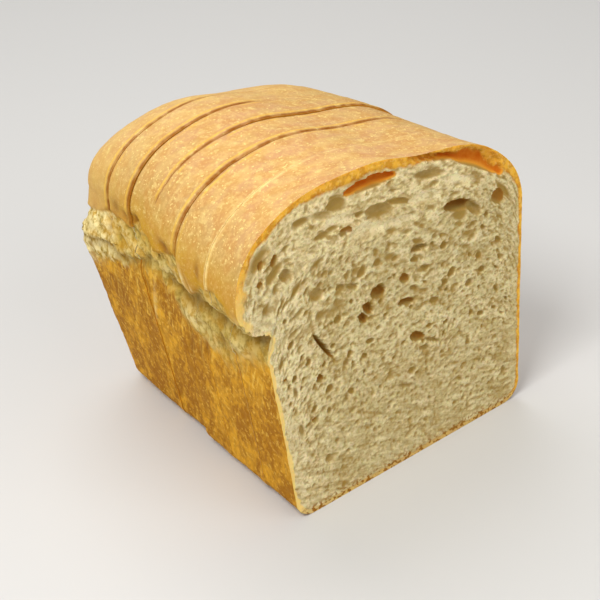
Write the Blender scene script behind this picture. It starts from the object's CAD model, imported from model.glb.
"""Olive oil sandwich loaf: half of a loaf, cut across and sliced down to the heel, on a plain pale table.

The five slices and the heel are closed meshes. Each is the loaf's outline carried from cut to cut, with
the relief of the crust on it. The first slice ends in the cut face, a grid stretched over the outline and
pressed in wherever the crumb has a hole.

Shapes are worked out in millimetres and put into metres last. Across is +x, towards the plain side; height
is +z; depth is measured from the cut face into the loaf, along +y.

A Band is where a change starts and where it is complete. A Table holds pairs, mostly a depth and a height.
"""

import itertools
import logging
import math
from dataclasses import dataclass, field
from enum import Enum
from typing import Any

import bpy
import numpy as np
from mathutils import Matrix, Quaternion, Vector


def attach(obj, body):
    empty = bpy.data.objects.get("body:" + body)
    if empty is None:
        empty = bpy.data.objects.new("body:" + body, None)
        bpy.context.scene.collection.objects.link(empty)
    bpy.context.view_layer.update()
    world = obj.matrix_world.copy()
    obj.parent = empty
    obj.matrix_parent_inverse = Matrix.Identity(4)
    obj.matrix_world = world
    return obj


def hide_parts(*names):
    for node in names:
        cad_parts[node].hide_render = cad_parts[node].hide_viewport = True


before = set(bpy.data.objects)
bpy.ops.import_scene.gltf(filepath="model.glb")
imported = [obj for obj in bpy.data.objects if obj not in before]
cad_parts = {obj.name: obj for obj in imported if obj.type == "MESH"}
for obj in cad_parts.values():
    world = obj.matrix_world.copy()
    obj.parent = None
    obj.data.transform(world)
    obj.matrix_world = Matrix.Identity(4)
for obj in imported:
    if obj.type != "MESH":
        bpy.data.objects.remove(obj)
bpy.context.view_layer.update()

MM = 0.001
LOG = logging.getLogger("loaf")

Grid = np.ndarray
Colour = tuple[float, float, float]
Triple = tuple[float, float, float]
Band = tuple[float, float]
Table = tuple[tuple[float, float], ...]


class Tint(Enum):
    """How the inside of a hollow in the crumb looks."""

    OLIVE = "olive"
    BROWN = "brown"
    ORANGE = "orange"
    PALE = "pale"


class Surface(Enum):
    """The two surfaces of a piece, by their material's place on the mesh."""

    CRUST = 0
    CRUMB = 1


def ease(value: Grid, low: float, high: float) -> Grid:
    """Smooth step 3t² - 2t³, from 0 at low to 1 at high."""
    share = np.clip((value - low) / (high - low), 0.0, 1.0)
    return share * share * (3.0 - 2.0 * share)


def quarter_drop(share: Grid) -> Grid:
    """How far a quarter circle of radius 1 has turned away: 1 - sqrt(1 - share²)."""
    return 1.0 - np.sqrt(1.0 - np.clip(share, 0.0, 1.0) ** 2)


def mound(*offsets: Grid) -> Grid:
    """A round bump, exp(-(a² + b² + ...)), of offsets given as shares of its size."""
    return np.exp(-sum(offset * offset for offset in offsets))


def lattice_random(cells: list[Grid], seed: int) -> Grid:
    """Repeatable random numbers for the places of a lattice.

    Each cell's whole numbers are multiplied by odd constants, mixed by shifts and scaled to 0..1.

    Args:
        cells: One array of whole numbers for each direction of the lattice.
        seed: Chooses another set of numbers.

    Returns:
        Values from 0 to 1, in the arrays' shape.
    """
    mixed = np.full(np.broadcast(*cells).shape, (seed * 2654435761) % 2**32, dtype=np.uint32)
    for cell, factor in zip(cells, (0x8DA6B343, 0xD8163841, 0xCB1AB31F)):
        mixed = mixed ^ (cell.astype(np.int64).astype(np.uint32) * np.uint32(factor))
        mixed = (mixed ^ (mixed >> np.uint32(15))) * np.uint32(2246822519)
        mixed = (mixed ^ (mixed >> np.uint32(13))) * np.uint32(3266489917)
    mixed = mixed ^ (mixed >> np.uint32(16))
    return mixed.astype(np.float64) / 2.0**32


def smooth_noise(places: list[Grid], seed: int) -> Grid:
    """Noise from -1 to 1: lattice values a unit apart, blended by the smooth step of each coordinate.

    Args:
        places: Two or three coordinate arrays, in units of the noise's grain.
        seed: Chooses another noise.

    Returns:
        The noise at each place.
    """
    places = list(np.broadcast_arrays(*places))
    cells = [np.floor(place) for place in places]
    shares = [ease(place - cell, 0.0, 1.0) for place, cell in zip(places, cells)]
    total = np.zeros(places[0].shape)
    for corner in itertools.product((0, 1), repeat=len(places)):
        weight = np.ones(places[0].shape)
        for step, share in zip(corner, shares):
            weight = weight * (share if step else 1.0 - share)
        total += weight * lattice_random([cell + step for cell, step in zip(cells, corner)], seed)
    return 2.0 * total - 1.0


def layered_noise(places: list[Grid], seed: int, octaves: int = 3) -> Grid:
    """Sum of smooth noises, each half as strong and half as coarse as the one before.

    Args:
        places: Two or three coordinate arrays, in units of the coarsest noise's grain.
        seed: Chooses another noise.
        octaves: How many noises are added.

    Returns:
        The noise at each place, from -1 to 1.
    """
    total = np.zeros(np.broadcast(*places).shape)
    for octave in range(octaves):
        total += 0.5**octave * smooth_noise([place * 2.0**octave for place in places], seed + 17 * octave)
    return total / (2.0 - 0.5 ** (octaves - 1))


def read_table(table: Table, depth: Grid) -> Grid:
    """The second number of the table's pairs at each depth, on straight lines between them."""
    return np.interp(depth, *zip(*table))


def unit(vectors: Grid) -> Grid:
    """Vectors of length 1 in the same directions, along the last axis."""
    return vectors / np.maximum(np.linalg.norm(vectors, axis=-1, keepdims=True), 1e-9)


def new_object(name: str, data: bpy.types.ID) -> bpy.types.Object:
    """Makes an object and links it to the scene.

    Args:
        name: The object's name.
        data: Its mesh, light or camera.

    Returns:
        The object.
    """
    obj = bpy.data.objects.new(name, data)
    bpy.context.scene.collection.objects.link(obj)
    return obj


def facing(place: Triple, target: Triple) -> Quaternion:
    """The turn that points an object's -z axis from a place to a target, with its y axis upwards."""
    return (Vector(target) - Vector(place)).to_track_quat("-Z", "Y")


@dataclass(frozen=True)
class Grain:
    """A noise over the loaf: its size along each direction, in millimetres, its seed and its octaves."""

    sizes: tuple[float, ...]
    seed: int
    octaves: int = 3

    def at(self, *places: Grid) -> Grid:
        """The noise at each place, from -1 to 1."""
        scaled = [place / size for place, size in zip(places, self.sizes)]
        return layered_noise(scaled, self.seed, self.octaves)

    def ridges(self, *places: Grid) -> Grid:
        """The noise folded at 0, 1 - 2|n|, which makes its tops sharp."""
        return 1.0 - 2.0 * np.abs(self.at(*places))


@dataclass(frozen=True)
class Bump:
    """A round bump or dent: its size, and its middle and half width along each direction."""

    size: float
    middles: tuple[float, ...]
    halves: tuple[float, ...]

    def at(self, *places: Grid) -> Grid:
        """Its size times exp(-(a² + b²)) at each place, of offsets in half widths."""
        spots = zip(places, self.middles, self.halves)
        return self.size * mound(*((place - middle) / half for place, middle, half in spots))


@dataclass(frozen=True)
class LoafForm:
    """The smooth form of the loaf, in millimetres: its outline at each depth, its cuts and its end wall.

    A taper or fall is how much narrower or lower something has become at the heel. The slump is a dent
    along the whole loaf, and the sag one at a single place. A name that starts with cut_ has a number for
    each cut, from the cut face on, and slice_shifts has one for each piece.
    """

    length: float = 111.3
    heel_foot: float = 105.0
    heel_lean: float = 0.1
    heel_step: float = 6.0
    heel_step_band: Band = (57.0, 67.0)
    heel_turn: float = 5.0
    heel_turn_band: Band = (55.0, 83.0)
    heel_torn_band: Band = (-35.0, -5.0)
    end_bulge: float = 1.2
    pan_corner: float = 10.0
    foot_radius: float = 7.0
    plain_foot: float = 54.1
    plain_lean: float = 0.014
    torn_foot: float = -40.7
    torn_foot_taper: float = 8.0
    torn_lean: float = 0.105
    torn_lean_gain: float = 0.09
    lip_reach: float = -55.4
    lip_taper: float = 17.0
    lip_height: float = 80.0
    lip_fall: float = 4.0
    lip_power: float = 1.7
    lip_power_fall: float = 0.6
    crease_reach: float = -45.8
    crease_taper: float = 1.3
    crease_height: float = 67.5
    crease_fall: float = 5.0
    shoulder_height: float = 72.0
    shoulder_fall: float = 6.0
    dome_power: float = 2.2
    plain_power_fall: float = 0.35
    crown_height: float = 104.7
    crown_across: float = -3.0
    face_crown_rise: float = 3.2
    face_rise_length: float = 13.0
    face_crown_shift: float = -13.0
    face_shift_length: float = 25.0
    rounding_start: float = 52.0
    rounding_fall: float = 22.0
    slump: Bump = Bump(2.6, (14.0,), (15.0,))
    slump_band: Band = (85.0, 100.0)
    sag: Bump = Bump(2.1, (31.0, 67.0), (17.0, 19.0))
    sag_band: Band = (80.0, 96.0)
    swell: float = 0.35
    swell_length: float = 12.0
    swell_width: float = 21.0
    swell_band: Band = (60.0, 90.0)
    mid_depth: float = 55.78
    middle_share: float = 0.35
    cut_depths: tuple[float, ...] = (17.3, 35.3, 50.5, 66.9, 83.5)
    cut_openings: tuple[float, ...] = (0.06, 0.22, 0.6, 0.45, 0.3)
    cut_open_across: tuple[float, ...] = (0.0, -12.0, 8.0, -38.0, -40.0)
    cut_open_spreads: tuple[float, ...] = (38.0, 60.0, 48.0, 38.0, 38.0)
    cut_ends: tuple[float, ...] = (0.0, 0.0, 89.0, 0.0, 0.0)
    cut_leans: tuple[float, ...] = (0.0, 0.4, 1.6, 1.7, 1.0)
    end_fade: float = 3.0
    ended_band: Band = (-20.0, 0.0)
    opened_band: Band = (45.0, 95.0)
    saw_gap: float = 0.04
    slice_shifts: tuple[float, ...] = (-0.3, -0.5, -0.6, 0.8, 0.5, 0.6)

    @property
    def turn(self) -> float:
        """Depth at which the loaf's long sides start to turn into the end wall."""
        return self.length - self.pan_corner

    def corner_drop(self, depth: Grid) -> Grid:
        """How far the long sides have turned in at a depth: the pan corner's quarter circle."""
        return self.pan_corner * quarter_drop((depth - self.turn) / self.pan_corner)

    def crown(self, depth: Grid) -> Grid:
        """Height of the crown. It rises by exp(-d) towards the cut face, and falls by a quarter circle to
        the heel.

        Args:
            depth: Depths of the outlines.

        Returns:
            The crown's height at each of them.
        """
        rounding = quarter_drop((depth - self.rounding_start) / (self.length - self.rounding_start))
        rise = self.face_crown_rise * np.exp(-depth / self.face_rise_length)
        return self.crown_height + rise - self.rounding_fall * rounding

    def outline(self, depth: Grid, station: Grid) -> tuple[Grid, Grid]:
        """Points of the outline.

        Eight stretches follow each other: board, rounded foot, torn wall, underside of the lip, torn half
        of the dome, plain half of the dome, plain wall, rounded foot. The curved ones are quarters of a
        superellipse, |x/a|^p + |z/b|^p = 1.

        Args:
            depth: Column of depths, shape (rows, 1).
            station: Places round the outline: the stretch's number plus the share of it that is passed.

        Returns:
            Across and height, each of shape (rows, stations).
        """
        along = depth / self.length
        corner = self.corner_drop(depth)
        torn_foot = self.torn_foot + self.torn_foot_taper * along + corner
        plain_foot = self.plain_foot - corner
        lip = self.lip_reach + self.lip_taper * along + corner
        lip_height = self.lip_height - self.lip_fall * along**3
        crease = self.crease_reach + self.crease_taper * along + corner
        crease_height = self.crease_height - self.crease_fall * along**2
        crown = self.crown_across + self.face_crown_shift * np.exp(-depth / self.face_shift_length)
        top = self.crown(depth)
        shoulder = self.shoulder_height - self.shoulder_fall * along**4
        plain_top = plain_foot + self.plain_lean * shoulder
        radius = self.foot_radius
        share = station - np.floor(station)
        stretch = np.floor(station).astype(int) % 8

        def quarter(middle: tuple, reach: tuple, power: Grid | float, start: float) -> tuple[Grid, Grid]:
            """A quarter of a superellipse, clockwise.

            Args:
                middle: Its middle, across and up.
                reach: Its half sizes, across and up.
                power: The superellipse's power.
                start: The angle at which the quarter starts.

            Returns:
                Across and height of its points.
            """
            angle = start - share * np.pi / 2
            cosine, sine = np.cos(angle), np.sin(angle)
            x = middle[0] + reach[0] * np.sign(cosine) * np.abs(cosine) ** (2.0 / power)
            z = middle[1] + reach[1] * np.sign(sine) * np.abs(sine) ** (2.0 / power)
            return x, z

        wall_z = radius + (crease_height - radius) * share
        lean = self.torn_lean + self.torn_lean_gain * along
        plain_z = shoulder + (radius - shoulder) * share
        stretches = [
            (plain_foot - radius + (torn_foot - plain_foot + 2 * radius) * share, 0.0 * share),
            quarter((torn_foot + radius, radius), (radius, radius), 2.0, -np.pi / 2),
            (np.maximum(torn_foot - lean * (wall_z - radius), crease), wall_z),
            quarter((crease, lip_height), (crease - lip, lip_height - crease_height),
                    self.lip_power - self.lip_power_fall * along, -np.pi / 2),
            quarter((crown, lip_height), (crown - lip, top - lip_height), self.dome_power, np.pi),
            quarter((crown, shoulder), (plain_top - crown, top - shoulder),
                    self.dome_power - self.plain_power_fall * along, np.pi / 2),
            (plain_foot + self.plain_lean * (plain_z - radius), plain_z),
            quarter((plain_foot - radius, radius), (radius, radius), 2.0, 0.0),
        ]
        shape = np.broadcast(depth, station).shape
        chosen = [stretch == number for number in range(8)]
        across = np.select(chosen, [np.broadcast_to(x, shape) for x, _ in stretches])
        height = np.select(chosen, [np.broadcast_to(z, shape) for _, z in stretches])

        sunk = self.slump.at(across) * ease(height, *self.slump_band)
        sag = self.sag.at(across, depth) * ease(height, *self.sag_band)
        waves = np.sin(depth / self.swell_length + across / self.swell_width)
        swell = self.swell * waves * ease(height, *self.swell_band)
        return across, height - sunk - sag + swell

    def stations(self, across_count: int, up_count: int) -> Grid:
        """Places round the outline, evenly spaced along each of its four sides.

        The run length round a middle outline is tabulated and read backwards at even steps.

        Args:
            across_count: Steps over the dome, and as many along the board.
            up_count: Steps up the torn side to the lip, and as many down the plain side.

        Returns:
            The stations, from the torn foot up, over and back.
        """
        torn_foot, lip, shoulder, plain_foot = 1.5, 4.0, 6.0, 7.5
        once_round = torn_foot + 8.0
        fine = np.linspace(torn_foot, once_round, 6401)
        across, height = self.outline(np.array([[self.middle_share * self.length]]), fine)
        run = np.concatenate([[0.0], np.cumsum(np.hypot(np.diff(across[0]), np.diff(height[0])))])
        sides = ((torn_foot, lip, up_count), (lip, shoulder, across_count),
                 (shoulder, plain_foot, up_count), (plain_foot, once_round, across_count))
        found = []
        for start, stop, count in sides:
            ends = np.interp([start, stop], fine, run)
            found.append(np.interp(np.linspace(ends[0], ends[1], count, endpoint=False), run, fine))
        return np.concatenate(found)

    def opening(self, cut: int, across: Grid, height: Grid) -> Grid:
        """How far a cut has opened: a round bump across the loaf that grows upwards.

        Args:
            cut: The cut's number, from the cut face.
            across: Across of each place.
            height: Height of each place.

        Returns:
            The opening in millimetres. It is nothing under the cut's end, on the torn side.
        """
        spread = mound((across - self.cut_open_across[cut]) / self.cut_open_spreads[cut])
        past_end = ease(height, self.cut_ends[cut], self.cut_ends[cut] + self.end_fade)
        spread = spread * np.maximum(past_end, ease(across, *self.ended_band))
        return self.cut_openings[cut] * spread * ease(height, *self.opened_band)

    def cut_side(self, cut: int, across: Grid, height: Grid, side: float) -> Grid:
        """Depth of one side of a cut, which leans back over the dome.

        Args:
            cut: The cut's number, from the cut face.
            across: Across of each place.
            height: Height of each place.
            side: -1 for the side towards the cut face, 1 for the side towards the heel.

        Returns:
            The cut's depth, plus its lean, plus or less half of the saw's width and the opening.
        """
        lean = self.cut_leans[cut] * ease(height, *self.opened_band)
        half_gap = 0.5 * (self.saw_gap + self.opening(cut, across, height))
        return self.cut_depths[cut] + lean + side * half_gap

    def end_wall(self, across: Grid, height: Grid) -> Grid:
        """Depth of the end wall: it leans out, turns in at the dome and steps back over the torn corner.

        Args:
            across: Across of each place.
            height: Height of each place.

        Returns:
            The foot's depth plus the lean, less the step on the torn share and the turn on the rest.
        """
        torn_share = 1.0 - ease(across, *self.heel_torn_band)
        step = self.heel_step * ease(height, *self.heel_step_band)
        turn = self.heel_turn * ease(height, *self.heel_turn_band)
        return self.heel_foot + self.heel_lean * height - torn_share * step - (1.0 - torn_share) * turn


@dataclass(frozen=True)
class CrustMark:
    """A single feature of the torn side: where it is, its half sizes, and what it does."""

    depth: float
    height: float
    half_depth: float
    half_height: float
    dent: float = 0.0
    dark: float = 0.0
    pale: float = 0.0
    slant: float = 0.0

    def weight(self, depth: Grid, height: Grid) -> Grid:
        """Its share at each place: a round bump, leaning along the loaf by the slant."""
        rise = height - self.height
        return mound((depth - self.depth - self.slant * rise) / self.half_depth, rise / self.half_height)


CRUST_MARKS = (
    CrustMark(65.0, 79.8, 2.6, 1.9, dent=2.6, dark=1.0),
    CrustMark(72.0, 78.6, 2.6, 1.8, dent=1.0, dark=0.6),
    CrustMark(78.5, 79.4, 3.0, 2.2, dent=0.5, dark=0.65),
    CrustMark(43.5, 81.2, 3.4, 1.8, dent=0.9, dark=0.85),
    CrustMark(22.8, 82.5, 1.4, 3.2, dent=0.4, dark=0.65),
    CrustMark(44.0, 45.0, 1.8, 5.0, dent=0.4, dark=0.8, slant=-0.37),
    CrustMark(38.5, 46.0, 1.0, 5.0, dent=0.3, dark=0.6, slant=-0.37),
    CrustMark(34.5, 48.0, 1.3, 4.5, dent=0.4, dark=0.75, slant=-0.37),
    CrustMark(87.4, 45.0, 5.0, 6.0, dark=0.3),
    CrustMark(84.5, 71.5, 1.6, 6.0, dent=0.9, dark=0.4),
    CrustMark(66.3, 57.0, 0.9, 6.5, dent=0.3, dark=0.5),
    CrustMark(56.0, 60.0, 2.0, 5.0, dent=0.4, dark=0.2),
    CrustMark(63.3, 51.5, 0.8, 8.5, dent=-0.5, pale=0.6, slant=-0.37),
    CrustMark(37.5, 58.0, 5.0, 3.0, dent=-0.5, pale=0.7),
    CrustMark(96.0, 66.5, 5.5, 4.0, dent=-1.2, pale=0.75),
    CrustMark(88.0, 69.5, 4.0, 2.4, dent=-0.7, pale=0.55),
    CrustMark(98.0, 59.0, 4.0, 3.5, dent=-0.8, pale=0.6),
    CrustMark(97.5, 54.0, 3.5, 3.0, pale=0.4),
    CrustMark(96.0, 59.5, 1.6, 1.3, dent=0.4, dark=0.45),
    CrustMark(100.5, 51.4, 1.8, 1.4, pale=0.9),
    CrustMark(46.0, 71.0, 6.0, 2.5, pale=0.4),
    CrustMark(37.0, 65.0, 3.5, 2.0, dark=0.3),
    CrustMark(26.0, 70.0, 5.0, 2.5, dark=0.25),
    CrustMark(33.6, 74.0, 0.9, 5.0, dent=-0.4, pale=0.8),
    CrustMark(31.8, 73.0, 0.6, 4.5, dent=0.4, dark=0.4),
    CrustMark(30.2, 71.5, 0.8, 3.0, dent=-0.3, pale=0.6),
    CrustMark(13.0, 58.0, 5.0, 2.2, dent=-0.3, pale=0.6),
    CrustMark(27.5, 53.0, 3.0, 2.5, dent=-0.2, pale=0.3),
    CrustMark(1.5, 72.5, 3.0, 4.0, dent=0.3, pale=0.7),
    CrustMark(22.0, 56.0, 5.0, 2.0, dark=0.25),
    CrustMark(3.0, 66.0, 2.5, 1.5, dent=0.8, dark=0.35),
)


@dataclass(frozen=True)
class CutEdge:
    """One edge of a piece at a cut: each place's distance from it, and how clearly the cut shows."""

    distance: Grid | float = 99.0
    clear: Grid | float = 0.0

    def line(self, offset: float, half_width: Grid | float) -> Grid:
        """A line along the edge: 1 at the offset from it, fading over the half width."""
        return self.clear * mound((self.distance - offset) / half_width)


@dataclass(frozen=True)
class SawMarks:
    """What the saw left on the dome: browned, broken edges along the open cuts, with bright ones beside
    them, and a pale line where one cut stayed shut.

    Offsets and widths are in millimetres, and a width is half of the line's own. The two bright lines are
    given by their offset and width. pale_share and pale_gold are how strongly the pale line counts as pale
    and as gold.
    """

    frayed: Grain = Grain((5.0, 5.0, 5.0), 19)
    dash: Grain = Grain((2.0, 2.0, 6.0), 24, 1)
    dash_band: Band = (-0.5, 0.3)
    pale_line: Bump = Bump(1.0, (17.3,), (0.6,))
    pale_band: Band = (0.1, 0.6)
    pale_loss: float = 0.75
    pale_loss_band: Band = (-34.0, -12.0)
    pale_share: float = 0.9
    pale_gold: float = 0.6
    pale_rise: float = 0.25
    least_width: float = 0.3
    frayed_width: float = 0.9
    burnt_offset: float = 0.3
    near_gold: tuple[float, float] = (1.8, 0.5)
    far_gold: tuple[float, float] = (1.9, 0.4)
    far_gold_band: Band = (0.4, 0.7)
    gold_rise: float = 0.12
    rounding: float = 0.35
    far_rounding: float = 0.5
    near_rounding: float = 0.4

    def fields(self, depth: Grid, across: Grid, height: Grid, dome: Grid, near: CutEdge,
               far: CutEdge) -> dict[str, Grid]:
        """The marks at each place of the dome.

        Args:
            depth: Depth of each place.
            across: Across of each place.
            height: Height of each place.
            dome: Share by which each place is on the dome.
            near: The piece's edge towards the cut face.
            far: The piece's edge towards the heel.

        Returns:
            "rise", in millimetres, and from 0 to 1 "pale", "burnt", "gold" and "frayed", how ragged the
            lines are.
        """
        frayed = 0.5 + 0.5 * self.frayed.at(across, height, depth)
        dashes = ease(self.dash.at(across, height, depth), *self.dash_band)
        line = self.pale_line.at(depth) * dome * ease(frayed, *self.pale_band)
        line = line * (1.0 - self.pale_loss * ease(across, *self.pale_loss_band))
        width = self.least_width + self.frayed_width * frayed * (0.4 + 0.6 * dashes)
        burnt = np.maximum(far.line(0.0, width), near.line(self.burnt_offset, width))
        bright = far.line(*self.far_gold) * ease(frayed, *self.far_gold_band)
        gold = np.maximum(near.line(*self.near_gold), bright) * dome
        gold = np.maximum(gold, self.pale_gold * line)
        rounded = np.maximum(far.line(0.0, self.far_rounding), near.line(0.0, self.near_rounding)) * dome
        rise = self.pale_rise * line + self.gold_rise * gold - self.rounding * rounded
        return {"rise": rise, "pale": self.pale_share * line,
                "burnt": burnt * dome * (0.65 + 0.35 * dashes), "gold": gold, "frayed": frayed}


@dataclass(frozen=True)
class CrustRelief:
    """Where the dome, the torn band and the pan-baked side lie, and how each stands off the smooth form.

    The edges and the crease are tables of heights along the torn side, and a rise is in millimetres. Over
    torn_band, across the loaf, the torn side gives way to the plain one, and over heel_band, along it, the
    heel begins. The dome begins over dome_band round its edge, and over plain_band on the plain side.
    """

    dome_edge: Table = (
        (0, 74.0), (5, 75.0), (9, 78.0), (14, 79.0), (22, 77.5), (27, 73.5), (31, 70.5), (35, 67.0),
        (35.6, 80.0), (38, 81.5), (43, 79.0), (50, 76.5), (55, 75.0), (57, 77.5), (61, 79.5), (65, 80.0),
        (68, 76.5), (74, 75.2), (82, 75.7), (91, 72.4), (112, 69.5),
    )
    crease: Table = (
        (0, 67.8), (12, 67.0), (22, 65.5), (31, 65.8), (37, 63.5), (41.5, 63.8), (45, 66.0), (55, 68.0),
        (60, 68.0), (66, 65.0), (72, 62.9), (79, 61.7), (86, 63.9), (95, 61.3), (112, 60.0),
    )
    tear_edge: Table = (
        (0, 60.0), (8, 58.5), (14, 55.0), (23, 51.0), (30, 50.5), (34, 53.0), (39, 52.0), (43, 53.0),
        (47, 61.0), (56, 63.0), (62, 64.5), (72, 61.0), (80, 59.0), (88, 57.0), (95, 53.0), (112, 50.0),
    )
    tear_fade: Table = ((10.0, -7.0), (45.0, -2.0))
    crease_above: Table = ((31.0, 1.4), (36.0, 3.6), (44.0, 3.0), (52.0, 1.4))
    crease_below: Table = ((0.0, 4.0), (28.0, 4.0), (45.0, 2.0))
    shred_strength: Table = ((0, 0.7), (25, 0.75), (45, 1.0), (80, 1.1), (112, 1.0))
    torn_band: Band = (-33.0, -20.0)
    heel_band: Band = (60.0, 98.0)
    plain_dome: float = 69.0
    plain_dome_sway: float = 5.0
    plain_tear: float = 67.0
    dome_band: Band = (-0.6, 1.0)
    plain_band: Band = (-3.5, 3.5)
    front_wobble: float = 2.6
    front_wobble_band: Band = (10.0, 30.0)
    crease_wobble: float = 1.2
    tear_sway: float = 5.0
    tear_stop: float = 2.6

    wobble: Grain = Grain((5.0, 5.0, 9.0), 3)
    ragged: Grain = Grain((3.0, 8.0, 9.0), 5)
    plain_sway: Grain = Grain((14.0, 14.0), 20, 2)
    narrow: Grain = Grain((1.2, 9.0, 8.0), 11, 1)
    broad: Grain = Grain((3.2, 14.0, 8.0), 12, 1)
    lumps: Grain = Grain((6.0, 6.0, 6.0), 14)
    fine: Grain = Grain((1.6, 1.6, 1.6), 15, 2)
    blisters: Grain = Grain((12.0, 12.0, 12.0), 16)
    streaks: Grain = Grain((2.2, 9.0, 2.2), 18, 1)
    crag: Grain = Grain((2.8, 3.4, 3.0), 21)
    knob: Grain = Grain((3.0, 3.4, 4.0), 22, 1)
    tatters: Grain = Grain((2.4, 1.7, 1.7), 23)

    strand_lean: float = 0.5
    strand_lean_band: Band = (45.0, 80.0)
    strand_foot: float = 66.0
    streak_slant: float = 0.37
    strand_rise: float = 0.4
    lump_rise: float = 0.5
    heel_lump_rise: float = 0.3
    crag_rise: float = 1.1
    knob_rise: float = 0.4
    torn_fine_rise: float = 0.4
    torn_sink: float = 0.25
    front_swell: float = 0.8
    front_swell_band: Band = (5.0, 32.0)
    blister_rise: float = 0.32
    dome_fine_rise: float = 0.07
    pan_lump_rise: float = 0.20
    pan_streak_rise: float = 0.07
    pan_fine_rise: float = 0.13
    crease_depth: float = 0.8
    under_lip: float = 0.9
    under_lip_band: Band = (60.0, 68.0)
    dome_overhang: float = 0.3
    tatter_rise: float = 1.3
    tatter_height: float = 70.0
    tatter_half: float = 6.0
    tatter_band: Band = (2.0, 14.0)
    edge_burn: float = 0.55
    edge_burn_offset: float = 1.0
    edge_burn_width: float = 1.3
    edge_burn_band: Band = (20.0, 45.0)
    saw: SawMarks = SawMarks()

    def regions(self, depth: Grid, across: Grid, height: Grid, torn: Grid) -> tuple[Grid, ...]:
        """The dome, the torn band and the crease. The torn band lies between two wobbling edges.

        Args:
            depth: Depth of each place.
            across: Across of each place.
            height: Height of each place.
            torn: Share by which each place is on the torn side.

        Returns:
            Height over the dome's edge, and the shares of dome, torn band and crease.
        """
        wobble = self.wobble.at(depth, height, across)
        plain_dome = self.plain_dome + self.plain_dome_sway * self.plain_sway.at(depth, across)
        dome_edge = torn * read_table(self.dome_edge, depth) + (1.0 - torn) * plain_dome
        over = height - dome_edge - (self.front_wobble - ease(depth, *self.front_wobble_band)) * wobble
        dome = torn * ease(over, *self.dome_band) + (1.0 - torn) * ease(over, *self.plain_band)
        tear_edge = torn * read_table(self.tear_edge, depth) + (1.0 - torn) * self.plain_tear
        above = height - tear_edge - self.tear_sway * self.ragged.at(depth, height, across)
        shred = (1.0 - dome) * ease(above, read_table(self.tear_fade, depth), self.tear_stop) * torn
        fold = height - read_table(self.crease, depth) - self.crease_wobble * wobble
        above_fold, below_fold = read_table(self.crease_above, depth), read_table(self.crease_below, depth)
        crease = mound(fold / np.where(fold > 0.0, above_fold, below_fold)) * (1.0 - dome) * torn
        return over, dome, shred, crease

    def crags(self, depth: Grid, across: Grid, height: Grid, lumps: Grid, heel: Grid) -> Grid:
        """The torn band's relief.

        Its strands and knobs are ridges, and the strands are drawn out upwards. All lean back towards the
        heel.

        Args:
            depth: Depth of each place.
            across: Across of each place.
            height: Height of each place.
            lumps: The coarse noise of the crust.
            heel: Share by which each place is near the heel.

        Returns:
            The relief in millimetres.
        """
        lean = self.strand_lean * ease(depth, *self.strand_lean_band) * (height - self.strand_foot)
        along = depth - lean
        narrow = self.narrow.ridges(along, height, across)
        broad = self.broad.ridges(along, height, across)
        knob = self.knob.ridges(along, height, across)
        crags = self.strand_rise * (0.55 * narrow + 0.45 * broad) + self.knob_rise * knob
        crags += self.crag_rise * self.crag.at(along, height, across)
        return crags + (self.lump_rise + self.heel_lump_rise * heel) * lumps

    def fields(self, depth: Grid, across: Grid, height: Grid, near: CutEdge,
               far: CutEdge) -> dict[str, Grid]:
        """The crust's fields at each place of the loaf.

        Args:
            depth: Depth of each place.
            across: Across of each place.
            height: Height of each place.
            near: The piece's edge towards the cut face.
            far: The piece's edge towards the heel.

        Returns:
            "rise", how far the surface stands out, in millimetres, and from 0 to 1 "dome", "shred",
            "strand", "crease", "dark", "pale", "heel", "burnt", the browned edges of the open cuts, and
            "gold", the bright edges beside them.
        """
        torn = 1.0 - ease(across, *self.torn_band)
        over, dome, shred, crease = self.regions(depth, across, height, torn)
        heel = ease(depth, *self.heel_band)
        fine, lumps = self.fine.at(depth, height, across), self.lumps.at(depth, height, across)
        streaks = self.streaks.at(depth + self.streak_slant * height, height, across)
        crags = self.crags(depth, across, height, lumps, heel)

        rough = crags + self.torn_fine_rise * fine - self.torn_sink
        swell = self.front_swell * (1.0 - ease(depth, *self.front_swell_band))
        rise = shred * (read_table(self.shred_strength, depth) * rough + swell)
        blisters = self.blisters.at(depth, height, across)
        rise += dome * (self.blister_rise * blisters + self.dome_fine_rise * fine)
        baked = self.pan_lump_rise * lumps + self.pan_streak_rise * streaks + self.pan_fine_rise * fine
        rise += (1.0 - dome) * (1.0 - shred) * baked
        rise -= self.crease_depth * crease - self.dome_overhang * dome * torn
        rise -= self.under_lip * (1.0 - dome) * torn * ease(height, *self.under_lip_band)
        at_lip = mound((height - self.tatter_height) / self.tatter_half)
        at_lip = at_lip * (1.0 - ease(depth, *self.tatter_band))
        rise += self.tatter_rise * torn * at_lip * self.tatters.at(depth, height, across)

        saw = self.saw.fields(depth, across, height, dome, near, far)
        rise += saw["rise"]
        dark, pale = np.zeros(rise.shape), saw["pale"]
        for mark in CRUST_MARKS:
            weight = torn * mark.weight(depth, height)
            rise -= mark.dent * weight
            dark = np.maximum(dark, mark.dark * weight)
            pale = np.maximum(pale, mark.pale * weight)
        edge_burn = self.edge_burn * torn * dome * ease(saw["frayed"], 0.3, 0.8)
        edge_burn = edge_burn * mound((over - self.edge_burn_offset) / self.edge_burn_width)
        burnt = np.maximum(saw["burnt"], edge_burn * ease(depth, *self.edge_burn_band))
        return {"rise": rise, "dome": dome, "shred": shred, "strand": np.clip(0.5 + 0.45 * crags, 0, 1),
                "crease": crease, "dark": np.clip(dark, 0, 1), "pale": np.clip(pale, 0, 1), "heel": heel,
                "burnt": burnt, "gold": saw["gold"]}


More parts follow.
